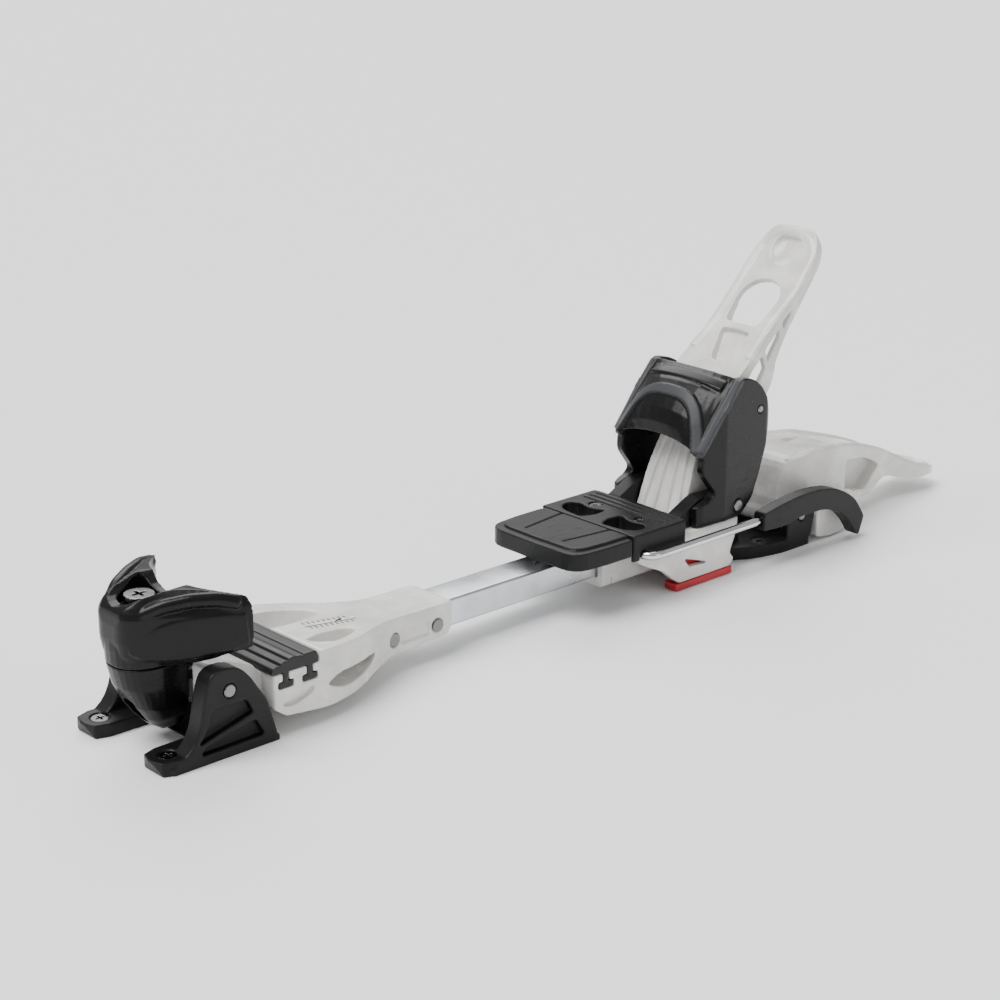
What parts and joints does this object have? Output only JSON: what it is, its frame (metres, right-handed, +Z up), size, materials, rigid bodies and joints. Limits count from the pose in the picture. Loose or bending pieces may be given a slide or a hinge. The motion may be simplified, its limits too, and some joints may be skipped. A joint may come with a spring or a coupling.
{
  "type": "touring binding",
  "caption": "Frame ski touring binding with a pivoting toe, releasing toe wings, aluminium rail, adjustable heel carriage with brake, opening heel cup and rear lock lever.",
  "frame": {"origin": "on the toe base's flat underside, in the middle, directly below the toe pivot axis", "axes": "+X from toe to heel along the ski, +Y to the side, +Z up from the ski"},
  "size_m": [0.5683, 0.0846, 0.1709],
  "materials": {
    "toe_black": "satin",
    "base_black": "fine grained",
    "cup_black": "satin",
    "plate_grey": "low friction satin",
    "white_moulding": "semi-gloss",
    "lock_red": "semi-gloss",
    "rail_aluminium": "satin anodised",
    "bright_steel": "zinc plated",
    "wire_chrome": "polished"
  },
  "bodies": {
    "ski_mounts": {"toe_base": "base_black", "toe_pivot_pin": "bright_steel", "toe_screw_left": "bright_steel", "toe_screw_right": "bright_steel", "heel_base": "base_black", "lock_lever_pin": "bright_steel", "heel_screw_left": "bright_steel", "heel_screw_right": "bright_steel"},
    "frame": {"front_housing": "white_moulding", "scale_pointer": "base_black", "rail_bar": "rail_aluminium", "housing_rivet_front": "bright_steel", "housing_rivet_rear": "bright_steel", "release_adjuster": "bright_steel", "spring_plunger": "bright_steel", "release_spring": "bright_steel"},
    "toe_piece": {"toe_cap": "toe_black", "toe_shell": "toe_black", "height_screw": "bright_steel"},
    "sliding_plate": {"afd_plate": "plate_grey"},
    "heel_carriage": {"carriage_body": "white_moulding", "heel_tower": "white_moulding", "heel_pivot_pin": "bright_steel", "heel_plunger": "bright_steel", "heel_spring": "bright_steel", "heel_release_screw": "bright_steel", "brake_block": "base_black", "pad_screw_left": "bright_steel", "pad_screw_right": "bright_steel"},
    "length_lock": {"length_lock": "lock_red"},
    "brake_arms": {"brake_wire_left": "wire_chrome", "brake_wire_right": "wire_chrome", "brake_arm_left": "base_black", "brake_arm_right": "base_black"},
    "brake_pedal": {"brake_pedal": "base_black"},
    "heel_cup": {"heel_cup": "cup_black", "treadle_left": "cup_black", "treadle_right": "cup_black", "heel_lever_pin": "bright_steel"},
    "heel_lever": {"heel_lever": "white_moulding"},
    "lock_lever": {"lock_lever": "white_moulding"}
  },
  "joints": [
    {"name": "frame_pivot", "type": "hinge", "parent": "ski_mounts", "child": "frame", "pos_m": [0, 0, 0.0311], "axis": [0, -1, 0], "range_deg": [0, 55]},
    {"name": "toe_release", "type": "hinge", "parent": "frame", "child": "toe_piece", "pos_m": [-0.0202, 0, 0.05], "axis": [0, 0, 1], "range_deg": [-15, 15], "stiffness_Nm_per_rad": 30},
    {"name": "plate_slide", "type": "slide", "parent": "frame", "child": "sliding_plate", "axis": [0, 1, 0], "range_m": [-0.006, 0.006], "stiffness_N_per_m": 600},
    {"name": "length_slide", "type": "slide", "parent": "frame", "child": "heel_carriage", "axis": [1, 0, 0], "range_m": [-0.03, 0.005]},
    {"name": "length_lock_hinge", "type": "hinge", "parent": "heel_carriage", "child": "length_lock", "pos_m": [0.288, 0, 0.0036], "axis": [0, 1, 0], "range_deg": [0, 20]},
    {"name": "brake_swing", "type": "hinge", "parent": "heel_carriage", "child": "brake_arms", "pos_m": [0.259, 0, 0.0284], "axis": [0, 1, 0], "range_deg": [0, 75]},
    {"name": "pedal_tilt", "type": "hinge", "parent": "heel_carriage", "child": "brake_pedal", "pos_m": [0.251, 0, 0.0396], "axis": [0, 1, 0], "range_deg": [0, 30]},
    {"name": "cup_open", "type": "hinge", "parent": "heel_carriage", "child": "heel_cup", "pos_m": [0.3315, 0, 0.038], "axis": [0, 1, 0], "range_deg": [0, 45]},
    {"name": "lever_press", "type": "hinge", "parent": "heel_cup", "child": "heel_lever", "pos_m": [0.34812, 0, 0.08718], "axis": [0, 1, 0], "range_deg": [0, 12], "stiffness_Nm_per_rad": 1.5},
    {"name": "lock_lift", "type": "hinge", "parent": "ski_mounts", "child": "lock_lever", "pos_m": [0.388, 0, 0.018], "axis": [0, -1, 0], "range_deg": [0, 60]}
  ],
  "couplings": [
    {"joint": "pedal_tilt", "follows": "brake_swing", "ratio": 0.4}
  ]
}
